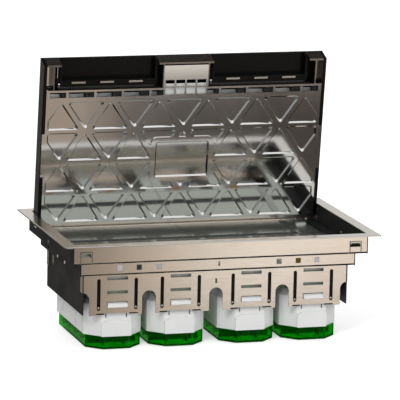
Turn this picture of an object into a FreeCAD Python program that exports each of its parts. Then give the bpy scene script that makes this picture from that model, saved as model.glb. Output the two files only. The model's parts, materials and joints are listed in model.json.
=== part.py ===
"""Floor socket box: a stepped sheet-steel box under a trim frame, with a hinged lid and four outlets.

Millimetres. +Z is up, +X runs along the box, and the lid's hinge is on the +Y side.
Origin: centre of the footprint, at the lowest face, which is the underside of the wiring covers.
The lid stands open, leaning a little forward, as it does when cables are being plugged in.
"""
import FreeCAD
import Part
import math
import os

V = FreeCAD.Vector

# Trim frame on the floor
frame_length = 300.0
frame_width = 182.0
frame_thickness = 1.2
frame_border_end = 11.0
frame_border_side = 11.1
frame_corner = 1.5
frame_rebate = 0.4
rebate_gap = 0.1

# Stepped box: how far each band stands in from the one above, and depths below the top of the trim frame
sheet = 1.0
wall_lap_end = 1.4
wall_lap_side = 1.5
ledge_end = 9.1
ledge_side = 8.6
step_end = 4.6
step_side = 8.3
upper_depth = 18.8
middle_depth = 31.3
skirt_depth = 70.0
side_depth = 69.2
bend_radius = 1.9

# Outlet modules, four in a row
module_pitch = 60.0
module_middle_pitch = 67.6
total_depth = 102.0

# Openings punched in the skirt, measured down from the top of the trim frame
arch_width = 13.0
arch_top = 48.4
slot_offset = 17.6
slot_width = 3.3
slot_top = 36.0
slot_bottom = 65.6
window_width = 19.5
top_window = (34.2, 37.4)
mid_window = (47.4, 50.3)
clip_window = (57.6, 63.3)
skirt_lift = 1.8
skirt_lift_half = 19.6
marker_slot = (1.9, 4.4)
marker_depths = (24.4, 42.1)
square_hole = 5.0
square_hole_x = (57.5, 75.9, 93.8)
square_hole_depth = 24.6
side_hole_y = (43.0, 8.7, -17.1)
side_hole = (4.2, 5.0)
side_hole_depth = 26.0

# Windows for the corner clips in the upper band
clip_hole_x = 128.2
clip_hole_width = 12.0
clip_hole_top = 6.6
clip_tab_top = 12.1
clip_tab_gap = 1.2
clip_sheet = 0.8
clip_notch_inset = 3.2
clip_notch_lift = 2.4
clip_step_inset = 1.6
clip_step_drop = 3.6

# Guide rails behind the slots of the skirt
rail_inner = 12.0
rail_outer = 20.4
rail_thickness = 1.6
rail_top = 33.0
rail_bottom = 69.6
rivet_radius = 1.35
rivet_depth = 63.6
rivet_head = 0.6

# Lid hinge
hinge_y = 74.1
hinge_drop = 3.65
lid_open_angle = 82.7
pin_radius = 2.0
bracket_front_reach = 14.0
running_gap = 0.05
bracket_thickness = 0.9

# Lid, in its own frame: "along" runs from the hinge axis to the free edge, "deep" is below the axis
lid_end_gap = 1.4
lid_top_drop = 0.5
lid_free = 153.4
lid_rear = 5.0
lid_skin = 1.5
lid_rear_wall = 1.0
lid_rear_chamfer = 1.4
lid_rear_clearance = 0.3
lid_side = 3.2
lid_shelf = 1.8
lid_deep = 12.0
lid_front_slope = 3.3
panel_sheet = 1.0
panel_gap = 0.3
panel_front = 125.5
panel_rear_clearance = 0.4
panel_tongue_gap = 3.0
panel_triangle_margin = 0.8
pocket_depth = 1.6
pocket_slope = 1.3
pocket_radius = 2.0
triangle_base = 37.4
triangle_height = 27.2
triangle_period = 47.7
row_pitch = 30.1
row_top = 114.2
row_count = 4
middle_half = 26.0
middle_along = (37.8, 72.4)
middle_border = 4.4
middle_corner = 6.0
vent_along = (118.3, 123.6)
vent_ribs = (34.0, 60.7, 87.3, 114.2)
vent_rib_width = 2.2
vent_inner = 21.2
vent_outer = 131.0

# Pull handle in the middle of the lid's free edge
handle_half = 26.5
handle_body_half = 21.4
handle_lip = 1.7
grid_half = 19.8
grid_along = (119.1, 133.0)
grid_columns = 4
grid_rows = 2
grid_bar = 1.6

# End caps and cable flaps along the free edge
cap_inner = 120.9
cap_wall_x = 127.4
flap_gap = 0.5
flap_thickness = 2.0
flap_axis_along = 131.0
flap_barrel = 2.6
flap_pin_radius = 1.0
flap_shelf_deep = 8.0
flap_shelf = (130.6, 133.6)
flap_cheek = 2.0
flap_foot = 127.0
ear_thickness = 2.2
spring_x = (47.5, 75.2, 102.6)
spring_size = (13.2, 1.7, 0.6)

# Cover plates on the ledge, the bar between them and the ribbed strip
plate_thickness = 0.8
plate_end_gap = 5.3
plate_seam = 0.8
rear_plate_front = 17.6
front_plate_rear = 8.2
plate_rest = 2.6
socket_window_half = 24.2
bar_depth = 9.0
bar_overlap = 1.8
strip_x = (102.1, 109.8)
strip_window_gap = 1.0
strip_wall_gap = 4.3
strip_height = 0.8
strip_ribs = 3
plate_screw_x = (105.6, 115.6)
plate_screw_y = 73.4
plate_screw_radius = 1.9

# Outlet housing
housing_half = 27.2
housing_end_gap = 0.5
apron_reach = 2.6
housing_chamfer = 13.2
housing_wall = 2.0
side_window_y = (29.4, -20.2)
side_window_half = 1.9
side_window_depths = (82.3, 86.5)
housing_bottom = 90.2
shoulder_depth = 61.5
rim_depth = 56.4
rim_inset = 4.6
apron_top = 75.6
clip_arm_half = 9.2
clip_arm_top = 52.0
clip_arm_root = 74.3
clip_nose = (58.2, 62.6)
clip_nose_reach = 2.2
clip_nose_slope = 1.2
clip_slit = 1.1

# Outlet face with its round plug well
face_half = 22.5
face_y = -37.5
face_depth = 33.2
face_plate = 4.4
well_radius = 19.5
well_depth = 17.5
well_wall = 2.0
pin_pitch = 19.0
pin_hole_radius = 2.6
earth_width = 7.0
earth_thickness = 0.6
earth_stand = 0.05
earth_gap = 0.3
core_gap = 0.4
core_front_y = -54.0
core_rear_y = 44.0
core_chamfer = 8.4
core_top = 52.4
core_bottom = 86.0
contact_length = 18.0
contact_wall = 0.5

# Green wiring cover
cover_inset = 1.2
cover_wall = 1.6
cover_rear_inset = 3.4
cover_front_reach = 2.0
cover_collar = 24.0
collar_step = 1.0

frame_opening_length = frame_length - 2 * frame_border_end
frame_opening_width = frame_width - 2 * frame_border_side
wall_top = frame_thickness - frame_rebate
upper_length = frame_opening_length + 2 * wall_lap_end
upper_width = frame_opening_width + 2 * wall_lap_side
middle_length = upper_length - 2 * ledge_end
middle_width = upper_width - 2 * ledge_side
lower_length = middle_length - 2 * step_end
lower_width = middle_width - 2 * step_side
lid_length = frame_opening_length - 2 * lid_end_gap
hinge_z = total_depth - hinge_drop
skin_deep = -(hinge_drop - lid_top_drop)
upper_hx = upper_length / 2
upper_hy = upper_width / 2
middle_hx = middle_length / 2
middle_hy = middle_width / 2
lower_hx = lower_length / 2
lower_hy = lower_width / 2
ledge_top = upper_depth - sheet
plate_top = ledge_top - plate_thickness
plate_length_half = middle_hx - plate_end_gap
plate_edge = middle_hy + plate_rest
housing_half_length = lower_hy - sheet - rail_thickness - housing_end_gap
housing_front = housing_half_length + apron_reach
cover_front_y = -housing_half_length - cover_front_reach
cover_rear_y = housing_half_length - cover_rear_inset
strip_y = (face_y + socket_window_half + strip_window_gap, middle_hy - strip_wall_gap)
module_x = (
    -module_middle_pitch / 2 - module_pitch,
    -module_middle_pitch / 2,
    module_middle_pitch / 2,
    module_middle_pitch / 2 + module_pitch,
)


def level(depth):
    """Height above the origin of a depth below the top of the trim frame."""
    return total_depth - depth


def block(x0, x1, y0, y1, z0, z1):
    low = V(min(x0, x1), min(y0, y1), min(z0, z1))
    return Part.makeBox(abs(x1 - x0), abs(y1 - y0), abs(z1 - z0), low)


def slab(x0, x1, y0, y1, depth0, depth1):
    """A block between two depths below the top of the trim frame."""
    return block(x0, x1, y0, y1, level(depth0), level(depth1))


def cylinder(radius, length, base, axis):
    return Part.makeCylinder(radius, length, base, axis)


def fuse(shapes):
    shapes = list(shapes)
    whole = shapes[0]
    if len(shapes) > 1:
        whole = shapes[0].multiFuse(shapes[1:])
    return whole.removeSplitter()


def cut(shape, tools):
    tools = list(tools)
    return shape.cut(tools) if tools else shape


def prism(points, vector):
    wire = Part.makePolygon(points + [points[0]])
    return Part.Face(wire).extrude(vector)


def mirror_x(shape):
    return shape.mirror(V(0, 0, 0), V(1, 0, 0))


def turned(shape):
    """The same piece turned half a turn about the vertical axis."""
    copy = shape.copy()
    copy.rotate(V(0, 0, 0), V(0, 0, 1), 180)
    return copy


def rounded_wire(corners, to_space):
    """A closed wire through 2-D corners (u, v, radius), each rounded by its radius."""
    count = len(corners)
    edges = []
    ends = []
    for index in range(count):
        u, v, radius = corners[index]
        before = corners[index - 1]
        after = corners[(index + 1) % count]
        a = V(before[0] - u, before[1] - v, 0).normalize()
        b = V(after[0] - u, after[1] - v, 0).normalize()
        point = V(u, v, 0)
        if radius <= 0:
            ends.append((point, None, point))
            continue
        half = a.getAngle(b) / 2
        reach = radius / math.tan(half)
        middle = (a + b).normalize() * (radius / math.sin(half) - radius)
        ends.append((point + a * reach, point + middle, point + b * reach))
    for index in range(count):
        start, middle, end = ends[index]
        if middle is not None:
            edges.append(Part.Arc(to_space(start), to_space(middle), to_space(end)).toShape())
        following = ends[(index + 1) % count][0]
        if end.distanceToPoint(following) > 1e-6:
            edges.append(Part.LineSegment(to_space(end), to_space(following)).toShape())
    return Part.Wire(edges)


def bent_sheet(corners, half_length):
    """A bent sheet whose section lies in Y and depth, run along X."""
    wire = rounded_wire(corners, lambda p: V(-half_length, p.x, level(p.y)))
    return Part.Face(wire).extrude(V(2 * half_length, 0, 0))


def place_lid(shape):
    """Turn a piece modelled in the closed lid to the open rest position."""
    copy = shape.copy()
    copy.rotate(V(0, hinge_y, hinge_z), V(1, 0, 0), -lid_open_angle)
    return copy


def lid_point(x, along, deep):
    return V(x, hinge_y - along, hinge_z - deep)


def lid_block(x0, x1, along0, along1, deep0, deep1):
    y0 = hinge_y - along0
    y1 = hinge_y - along1
    return block(x0, x1, y0, y1, hinge_z - deep0, hinge_z - deep1)


def lid_prism(points, x0, x1):
    """Extrude an outline of (along, deep) points from x0 to x1."""
    return prism([lid_point(x0, along, deep) for along, deep in points], V(x1 - x0, 0, 0))


def make_trim_frame():
    """Flat frame on the floor, with rounded outer edges and a small radius at its corners."""
    outer = block(-frame_length / 2, frame_length / 2, -frame_width / 2, frame_width / 2,
                  level(frame_thickness), level(0))
    upright = [e for e in outer.Edges if abs(e.tangentAt(e.FirstParameter).z) > 0.9]
    outer = outer.makeFillet(frame_corner, upright)
    top_rim = [e for e in outer.Edges
               if abs(e.BoundBox.ZMin - level(0)) < 1e-6 and abs(e.BoundBox.ZMax - level(0)) < 1e-6]
    outer = outer.makeFillet(frame_thickness * 0.45, top_rim)
    hole = slab(-frame_opening_length / 2, frame_opening_length / 2,
                -frame_opening_width / 2, frame_opening_width / 2, -1, frame_thickness + 1)
    reach_x = upper_hx + rebate_gap
    reach_y = upper_hy + rebate_gap
    rebate = slab(-reach_x, reach_x, -reach_y, reach_y, wall_top, frame_thickness + 1)
    return outer.cut([hole, rebate])


def skirt_cutters(hy):
    """Everything punched through the lowest band of a long wall at Y = -hy."""
    tools = []
    y0 = -hy - 1
    y1 = -hy + sheet + 1
    reach = V(0, y1 - y0, 0)
    arch_radius = arch_width / 2
    arch_x = [0.0, -lower_hx, lower_hx]
    arch_x += [side * (module_middle_pitch + module_pitch) / 2 for side in (-1, 1)]
    for x in arch_x:
        tools.append(slab(x - arch_radius, x + arch_radius, y0, y1,
                          arch_top + arch_radius, skirt_depth + 1))
        tools.append(cylinder(arch_radius, reach.y, V(x, y0, level(arch_top + arch_radius)), V(0, 1, 0)))
    for x in module_x:
        for side in (-1, 1):
            centre = x + side * slot_offset
            half = slot_width / 2
            tools.append(slab(centre - half, centre + half, y0, y1, slot_top + half, slot_bottom - half))
            for depth in (slot_top + half, slot_bottom - half):
                tools.append(cylinder(half, reach.y, V(centre, y0, level(depth)), V(0, 1, 0)))
        for top, bottom in (top_window, mid_window, clip_window):
            tools.append(slab(x - window_width / 2, x + window_width / 2, y0, y1, top, bottom))
        tools.append(slab(x - skirt_lift_half, x + skirt_lift_half, y0, y1,
                          skirt_depth - skirt_lift, skirt_depth + 1))
    half = marker_slot[0] / 2
    tools.append(slab(-half, half, y0, y1, marker_depths[1] - marker_slot[1] / 2,
                      marker_depths[1] + marker_slot[1] / 2))
    return tools


def make_long_wall():
    """Front wall: three bands bent from one sheet, punched for clips, slots, windows and cable arches."""
    corners = [
        (-upper_hy, wall_top, 0),
        (-upper_hy, upper_depth, bend_radius),
        (-middle_hy, upper_depth, 0),
        (-middle_hy, middle_depth, bend_radius),
        (-lower_hy, middle_depth, 0),
        (-lower_hy, skirt_depth, 0),
        (-lower_hy + sheet, skirt_depth, 0),
        (-lower_hy + sheet, middle_depth - sheet, bend_radius),
        (-middle_hy + sheet, middle_depth - sheet, 0),
        (-middle_hy + sheet, upper_depth - sheet, bend_radius),
        (-upper_hy + sheet, upper_depth - sheet, 0),
        (-upper_hy + sheet, wall_top, 0),
    ]
    wall = bent_sheet(corners, upper_hx - sheet)
    trims = []
    for side in (-1, 1):
        trims.append(slab(side * (middle_hx - sheet), side * upper_hx, -middle_hy, 0,
                          upper_depth - sheet - 1, skirt_depth + 1))
        trims.append(slab(side * (middle_hx - sheet), side * upper_hx, -upper_hy - 1, 0,
                          upper_depth, skirt_depth + 1))
        trims.append(slab(side * (lower_hx - sheet), side * upper_hx, -lower_hy - 1, 0,
                          middle_depth, skirt_depth + 1))
        trims.append(slab(side * (lower_hx - sheet), side * upper_hx, -lower_hy + sheet, 0,
                          middle_depth - sheet - 1, skirt_depth + 1))
    wall = cut(wall, trims + skirt_cutters(lower_hy))
    y0 = -upper_hy - 1
    y1 = -upper_hy + sheet + 0.5
    tools = []
    for x in (-clip_hole_x, clip_hole_x):
        half = clip_hole_width / 2
        tools.append(slab(x - half, x + half, y0, y1, clip_hole_top, clip_tab_top))
        for side in (-1, 1):
            tools.append(slab(x + side * half, x + side * (half - clip_tab_gap), y0, y1,
                              clip_hole_top, upper_depth - sheet))
    y0 = -middle_hy - 1
    y1 = -middle_hy + sheet + 1
    half = square_hole / 2
    for x in square_hole_x:
        for side in (-1, 1):
            tools.append(slab(side * x - half, side * x + half, y0, y1,
                              square_hole_depth - half, square_hole_depth + half))
    half = marker_slot[0] / 2
    tools.append(slab(-half, half, y0, y1, marker_depths[0] - marker_slot[1] / 2,
                      marker_depths[0] + marker_slot[1] / 2))
    return wall.cut(tools)


def make_left_wall():
    """Dark end wall: the same three bands, closing the ends of the long walls."""
    bands = [
        slab(-upper_hx, -upper_hx + sheet, -upper_hy, upper_hy, wall_top, upper_depth - sheet),
        slab(-upper_hx, -middle_hx + sheet, -middle_hy + sheet, middle_hy - sheet,
             upper_depth - sheet, upper_depth),
        slab(-upper_hx, -upper_hx + sheet, -upper_hy, upper_hy, upper_depth - sheet, upper_depth),
        slab(-middle_hx, -middle_hx + sheet, -middle_hy, middle_hy, upper_depth, middle_depth),
        slab(-middle_hx, -lower_hx + sheet, -lower_hy + sheet, lower_hy - sheet,
             middle_depth - sheet, middle_depth),
        slab(-lower_hx, -lower_hx + sheet, -lower_hy, lower_hy, middle_depth, side_depth),
    ]
    wall = fuse(bands)
    holes = []
    for y in side_hole_y:
        holes.append(slab(-middle_hx - 1, -middle_hx + sheet + 1, y - side_hole[0] / 2, y + side_hole[0] / 2,
                          side_hole_depth - side_hole[1] / 2, side_hole_depth + side_hole[1] / 2))
    holes.append(cylinder(pin_radius, 4, V(-upper_hx - 2, hinge_y, hinge_z), V(1, 0, 0)))
    return wall.cut(holes)


def make_corner_clips():
    """Spring clips behind the windows of the upper band, which lock the trim frame to the box."""
    half = clip_hole_width / 2
    inner = -upper_hy + sheet
    clips = []
    for side in (-1, 1):
        x = side * clip_hole_x
        leaf = slab(x - half - 2, x + half + 2, inner, inner + clip_sheet, clip_hole_top - 2, ledge_top)
        notch = slab(x - half + clip_notch_inset, x + half - clip_notch_inset,
                     inner - 1, inner + clip_sheet + 1, clip_hole_top - 3, clip_hole_top + clip_notch_lift)
        step = slab(x - half + clip_step_inset, x + half - clip_step_inset,
                    inner - 1, inner + clip_sheet + 1, clip_hole_top + clip_step_drop, clip_tab_top + 1)
        clips.append(leaf.cut([notch, step]))
    return Part.makeCompound(clips + [turned(clip) for clip in clips])


def make_guide_rails():
    """Dark rails riveted behind the slots, which guide each outlet housing between the long walls."""
    rails = []
    y0 = -lower_hy + sheet
    for x in module_x:
        for side in (-1, 1):
            rail = slab(x + side * rail_inner, x + side * rail_outer, y0, y0 + rail_thickness,
                        rail_top, rail_bottom)
            centre = x + side * slot_offset
            rail = rail.cut(cylinder(rivet_radius, 6, V(centre, y0 - 3, level(rivet_depth)), V(0, 1, 0)))
            rails.append(rail)
    return rails


def make_rail_rivets():
    rivets = []
    y0 = -lower_hy + sheet
    for x in module_x:
        for side in (-1, 1):
            centre = x + side * slot_offset
            rivets.append(cylinder(rivet_radius, rail_thickness + rivet_head,
                                   V(centre, y0 - rivet_head, level(rivet_depth)), V(0, 1, 0)))
    return rivets


def make_support_bar():
    """Dark channel across the box, under the meeting edges of the cover plates."""
    half = middle_hx - sheet
    y0 = front_plate_rear - bar_overlap
    y1 = rear_plate_front + bar_overlap
    web = slab(-half, half, y0, y1, ledge_top, ledge_top + sheet)
    flanges = [slab(-half, half, y, y + sheet, ledge_top, ledge_top + bar_depth) for y in (y0, y1 - sheet)]
    return fuse([web] + flanges)


def make_rear_plate():
    """Plain cover plate over the wiring space, on the +X side."""
    plate = slab(plate_seam / 2, plate_length_half, rear_plate_front, plate_edge, plate_top, ledge_top)
    holes = []
    for x in plate_screw_x:
        holes.append(cylinder(plate_screw_radius, 3, V(x, plate_screw_y, level(ledge_top + 1)), V(0, 0, 1)))
    return plate.cut(holes)


def make_front_plate():
    """Cover plate with two windows over the outlets, on the +X side."""
    plate = slab(plate_seam / 2, plate_length_half, -plate_edge, front_plate_rear, plate_top, ledge_top)
    holes = []
    for x in module_x[2:]:
        holes.append(slab(x - socket_window_half, x + socket_window_half,
                          face_y - socket_window_half, face_y + socket_window_half,
                          plate_top - 1, ledge_top + 1))
    for x in plate_screw_x:
        holes.append(cylinder(plate_screw_radius, 3, V(x, -plate_screw_y, level(ledge_top + 1)), V(0, 0, 1)))
    return plate.cut(holes)


def make_plate_screws():
    """Countersunk screws, flush with the plates, down through the ledge."""
    screws = []
    for x in plate_screw_x:
        for side_x in (-1, 1):
            for side_y in (-1, 1):
                centre = V(side_x * x, side_y * plate_screw_y, level(ledge_top))
                screws.append(cylinder(plate_screw_radius, plate_thickness, centre, V(0, 0, 1)))
    return Part.makeCompound(screws)


def make_ribbed_strip():
    width = strip_x[1] - strip_x[0]
    parts = [slab(strip_x[0], strip_x[1], strip_y[0], strip_y[1],
                  plate_top - strip_height * 0.4, plate_top)]
    for index in range(strip_ribs):
        centre = strip_x[0] + width * (index + 0.5) / strip_ribs
        parts.append(slab(centre - width * 0.09, centre + width * 0.09, strip_y[0], strip_y[1],
                          plate_top - strip_height, plate_top))
    return fuse(parts)


def make_hinge_bracket():
    """Plate inside the left end wall that carries the hinge pin."""
    x0 = -upper_hx + sheet
    x1 = x0 + bracket_thickness
    plate = slab(x0, x1, hinge_y - bracket_front_reach, upper_hy - sheet, frame_thickness, ledge_top)
    bore = cylinder(pin_radius, 6, V(x0 - 2, hinge_y, hinge_z), V(1, 0, 0))
    return plate.cut(bore)


def make_hinge_pin():
    """Left hinge pin, fixed in the wall and its bracket and running in the lid's side."""
    reach = upper_hx - lid_length / 2 + lid_side
    return cylinder(pin_radius, reach, V(-upper_hx, hinge_y, hinge_z), V(1, 0, 0))


def make_lid_tray():
    """Lid shell: outer skin, rabbeted sides, rounded rear edge, notched for the cable flaps."""
    hx = lid_length / 2
    rear_radius = lid_rear + lid_rear_clearance
    flat_end = -math.sqrt(rear_radius ** 2 - skin_deep ** 2)
    skin = lid_block(-hx, hx, flat_end, lid_free, skin_deep, skin_deep + lid_skin)
    sides = []
    inner_rear = -lid_rear + lid_rear_wall
    for side in (-1, 1):
        wall = lid_prism([(0, skin_deep), (lid_free, skin_deep), (lid_free - lid_front_slope, lid_deep),
                          (-lid_rear + lid_rear_chamfer, lid_deep), (-lid_rear, lid_deep - lid_rear_chamfer),
                          (-lid_rear, skin_deep)],
                         side * (hx - lid_side), side * hx)
        shelf = lid_prism([(0, skin_deep), (panel_front, skin_deep), (panel_front, lid_deep - panel_sheet),
                           (inner_rear, lid_deep - panel_sheet), (inner_rear, skin_deep)],
                          side * (hx - lid_side - lid_shelf), side * (hx - lid_side))
        sides += [wall, shelf]
    rear = lid_prism([(-lid_rear, 0), (-lid_rear, lid_deep - panel_sheet),
                      (inner_rear, lid_deep - panel_sheet), (inner_rear, skin_deep),
                      (flat_end, skin_deep)], -hx, hx)
    tray = fuse([skin, rear] + sides)
    keep = cylinder(rear_radius, 2 * hx, V(-hx, hinge_y, hinge_z), V(1, 0, 0))
    front_part = lid_block(-hx, hx, 0, lid_free + 1, skin_deep - 1, lid_deep + 1)
    lower_part = lid_block(-hx, hx, -lid_rear, 0.5, 0, lid_deep + 1)
    tray = tray.common(fuse([keep, front_part, lower_part]))
    cuts = []
    for side in (-1, 1):
        cuts.append(lid_block(side * handle_half, side * cap_inner, flap_foot, lid_free + 1,
                              skin_deep - 1, skin_deep + lid_skin + 0.1))
        cuts.append(cylinder(pin_radius + running_gap, 20, V(side * hx - 10, hinge_y, hinge_z), V(1, 0, 0)))
    return tray.cut(cuts)


def convex_inset(points, distance):
    """Move every side of a convex outline inward by one distance."""
    count = len(points)
    lines = []
    for index in range(count):
        (x0, y0), (x1, y1) = points[index], points[(index + 1) % count]
        length = math.hypot(x1 - x0, y1 - y0)
        nx, ny = -(y1 - y0) / length, (x1 - x0) / length
        lines.append((nx, ny, nx * x0 + ny * y0 + distance))
    result = []
    for index in range(count):
        a0, b0, c0 = lines[index - 1]
        a1, b1, c1 = lines[index]
        determinant = a0 * b1 - a1 * b0
        result.append(((c0 * b1 - c1 * b0) / determinant, (a0 * c1 - a1 * c0) / determinant))
    return result


def pressed_form(points, inset0, deep0, inset1, deep1, radius):
    """Tapered plug between two depths, from a convex outline of (x, along) points."""
    wires = []
    for inset, deep in ((inset0, deep0), (inset1, deep1)):
        outline = convex_inset(points, inset) if inset else points
        corners = [(x, along, radius) for x, along in outline]
        wires.append(rounded_wire(corners, lambda p, d=deep: lid_point(p.x, p.y, d)))
    return Part.makeLoft(wires, True, True)


def pocket_outlines():
    """Counter-clockwise outlines of the pressed triangles, clipped at the panel's ends."""
    outlines = []
    half_base = triangle_base / 2
    limit = lid_length / 2 - lid_side - lid_shelf - panel_triangle_margin
    for row in range(row_count):
        top = row_top - row * row_pitch
        bottom = top - triangle_height
        shift = 0.0 if row % 2 == 0 else triangle_period / 2
        for step in range(-6, 7):
            centre = step * triangle_period / 2
            points_down = (step * triangle_period / 2 - shift) % triangle_period < 1e-6
            if abs(centre) > limit + half_base * 0.5:
                continue
            outlines.append(clipped_triangle(centre, bottom, top, points_down, limit))
    return outlines


def clipped_triangle(centre, bottom, top, points_down, limit):
    half = triangle_base / 2
    height = top - bottom
    if points_down:
        corners = [(centre, bottom), (centre + half, top), (centre - half, top)]
    else:
        corners = [(centre - half, bottom), (centre + half, bottom), (centre, top)]
    if centre + half <= limit and centre - half >= -limit:
        return corners
    side = 1 if centre > 0 else -1
    clipped = []
    for index in range(3):
        (x0, y0), (x1, y1) = corners[index], corners[(index + 1) % 3]
        inside0, inside1 = side * x0 <= limit, side * x1 <= limit
        if inside0:
            clipped.append((x0, y0))
        if inside0 != inside1:
            share = (side * limit - x0) / (x1 - x0)
            clipped.append((side * limit, y0 + (y1 - y0) * share))
    return clipped


def middle_plug(border):
    """Upright plug with rounded corners, over the plain rectangle and a border round it."""
    x = middle_half + border
    a0 = middle_along[0] - border
    a1 = middle_along[1] + border
    corners = [(u, v, middle_corner) for u, v in ((-x, a0), (x, a0), (x, a1), (-x, a1))]
    wire = rounded_wire(corners, lambda p: lid_point(p.x, p.y, lid_deep + 1))
    return Part.Face(wire).extrude(V(0, 0, panel_sheet + pocket_depth + 3))


def pressed_pair(outline, back):
    """The metal behind a pressed pocket and the hollow in front of it."""
    pan = pressed_form(outline, -0.4, back + 0.3, 0.5, back - pocket_depth, 0)
    pocket = pressed_form(outline, 0, lid_deep, pocket_slope, lid_deep - pocket_depth, pocket_radius)
    return pan, pocket


def make_lid_panel():
    """Inner sheet of the lid, pressed with rows of triangles round a plain rectangle, with vent slots."""
    hx = lid_length / 2 - lid_side - panel_gap
    back = lid_deep - panel_sheet
    sheet_body = lid_block(-hx, hx, -lid_rear + panel_rear_clearance, panel_front, back, lid_deep)
    tongue = lid_block(-handle_body_half, handle_body_half, panel_front - 1,
                       lid_free - lid_front_slope - panel_tongue_gap, back, lid_deep)
    border = middle_plug(middle_border)
    border_inside = middle_plug(middle_border - panel_sheet)
    pans = []
    pockets = []
    for outline in pocket_outlines():
        pan, pocket = pressed_pair(outline, back)
        if pocket.common(border).Volume > 1e-6:
            pocket = pocket.cut(border)
            pan = pan.cut(border_inside)
        if pocket.Solids:
            pans.append(pan)
            pockets.append(pocket)
    x, (a0, a1) = middle_half, middle_along
    pan, pocket = pressed_pair([(-x, a0), (x, a0), (x, a1), (-x, a1)], back)
    pans.append(pan)
    pockets.append(pocket)
    panel = fuse([sheet_body, tongue] + pans)
    tools = pockets
    edges = [vent_inner] + [x for x in vent_ribs] + [vent_outer]
    for side in (-1, 1):
        for index in range(len(edges) - 1):
            low = edges[index] + (vent_rib_width / 2 if index else 0)
            high = edges[index + 1] - (vent_rib_width / 2 if index < len(edges) - 2 else 0)
            tools.append(lid_block(side * low, side * high, vent_along[0], vent_along[1],
                                   back - 3, lid_deep + 1))
    column = (2 * grid_half + grid_bar) / grid_columns
    row = (grid_along[1] - grid_along[0] + grid_bar) / grid_rows
    for i in range(grid_columns):
        for j in range(grid_rows):
            x0 = -grid_half + i * column
            a0 = grid_along[0] + j * row
            tools.append(lid_block(x0, x0 + column - grid_bar, a0, a0 + row - grid_bar,
                                   back - 1, lid_deep + 1))
    return panel.cut(tools)


def front_lip(x0, x1):
    """The sloping front wall of the lid, between its skin and its inner face."""
    low = lid_free - lid_front_slope
    return lid_prism([(lid_free, skin_deep + lid_skin), (low, lid_deep), (low - handle_lip, lid_deep),
                      (lid_free - handle_lip, skin_deep + lid_skin)], x0, x1)


def lip_cheek(x0, x1):
    """Upright wall from the panel's edge to the back of the front lip."""
    floor_deep = skin_deep + lid_skin
    foot = panel_front + panel_gap
    return lid_prism([(foot, floor_deep), (lid_free - handle_lip, floor_deep),
                      (lid_free - lid_front_slope - handle_lip, lid_deep), (foot, lid_deep)], x0, x1)


def make_lid_handle():
    """Hood over the middle of the lid's free edge, with two cheeks down to the skin."""
    lip = front_lip(-handle_half, handle_half)
    cheeks = [lip_cheek(side * handle_body_half, side * (handle_body_half + sheet)) for side in (-1, 1)]
    return fuse([lip] + cheeks)


def make_end_cap():
    """Left corner of the lid's free edge: its front lip and the upright wall beside the flap."""
    lip = front_lip(-lid_length / 2 + lid_side, -cap_inner)
    wall = lip_cheek(-cap_wall_x - sheet / 2, -cap_wall_x + sheet / 2)
    return fuse([lip, wall])


def flap_span():
    return (handle_half + flap_gap, cap_inner - flap_gap)


def make_cable_flap():
    """Right cable flap: plate flush with the lid's skin, a shelf inside it, two cheeks and its pin holes."""
    x0, x1 = flap_span()
    foot = flap_shelf[0]
    deep = skin_deep + flap_shelf_deep + flap_thickness
    plate = lid_block(x0, x1, flap_axis_along, lid_free, skin_deep, skin_deep + flap_thickness)
    shelf = lid_block(x0, x1, foot, flap_shelf[1], skin_deep + flap_thickness, deep)
    barrel = cylinder(flap_barrel, x1 - x0,
                      lid_point(x0, flap_axis_along, skin_deep + flap_barrel), V(1, 0, 0))
    cheeks = []
    for x in (x0, x1 - flap_cheek):
        cheeks.append(lid_prism([(flap_axis_along, skin_deep), (lid_free, skin_deep),
                                 (lid_free - 3.0, deep), (foot, deep),
                                 (foot, skin_deep + flap_thickness)], x, x + flap_cheek))
    flap = fuse([plate, shelf, barrel] + cheeks)
    bore = cylinder(flap_pin_radius + running_gap, x1 - x0 + 2,
                    lid_point(x0 - 1, flap_axis_along, skin_deep + flap_barrel), V(1, 0, 0))
    return flap.cut(bore)


def make_flap_springs():
    """Three bright steel clips in front of the right flap's shelf."""
    width, height, thick = spring_size
    deep = skin_deep + flap_shelf_deep + flap_thickness
    return Part.makeCompound([lid_block(x - width / 2, x + width / 2, flap_shelf[0], flap_shelf[0] + height,
                                        deep, deep + thick) for x in spring_x])


def make_flap_bracket():
    """Right flap's carrier on the lid: a floor behind the notch with an ear at each end for the pin."""
    x0, x1 = flap_span()
    outer0 = x0 - flap_gap - ear_thickness
    outer1 = x1 + flap_gap + ear_thickness
    floor_deep = skin_deep + lid_skin
    foot = panel_front + panel_gap
    web = lid_block(outer0, outer1, foot, foot + sheet, floor_deep, lid_deep - panel_sheet)
    ears = []
    for x in (outer0, x1 + flap_gap):
        ears.append(lid_block(x, x + ear_thickness, foot, flap_axis_along + flap_barrel,
                              floor_deep, skin_deep + 2 * flap_barrel))
    bore = cylinder(flap_pin_radius, outer1 - outer0 + 2,
                    lid_point(outer0 - 1, flap_axis_along, skin_deep + flap_barrel), V(1, 0, 0))
    return fuse([web] + ears).cut(bore)


def make_flap_pin():
    """Pin of the right flap, fixed in the carrier's two ears."""
    x0, x1 = flap_span()
    reach = flap_gap + ear_thickness
    return cylinder(flap_pin_radius, x1 - x0 + 2 * reach,
                    lid_point(x0 - reach, flap_axis_along, skin_deep + flap_barrel), V(1, 0, 0))


def housing_outline(half_x, front, rear, chamfer, inset=0.0):
    """Plan of an outlet housing: a rectangle with its four corners cut off."""
    x = half_x - inset
    f = front + inset
    r = rear - inset
    c = chamfer - inset * (2 - math.sqrt(2))
    return [(-x + c, f), (x - c, f), (x, f + c), (x, r - c),
            (x - c, r), (-x + c, r), (-x, r - c), (-x, f + c)]


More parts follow.
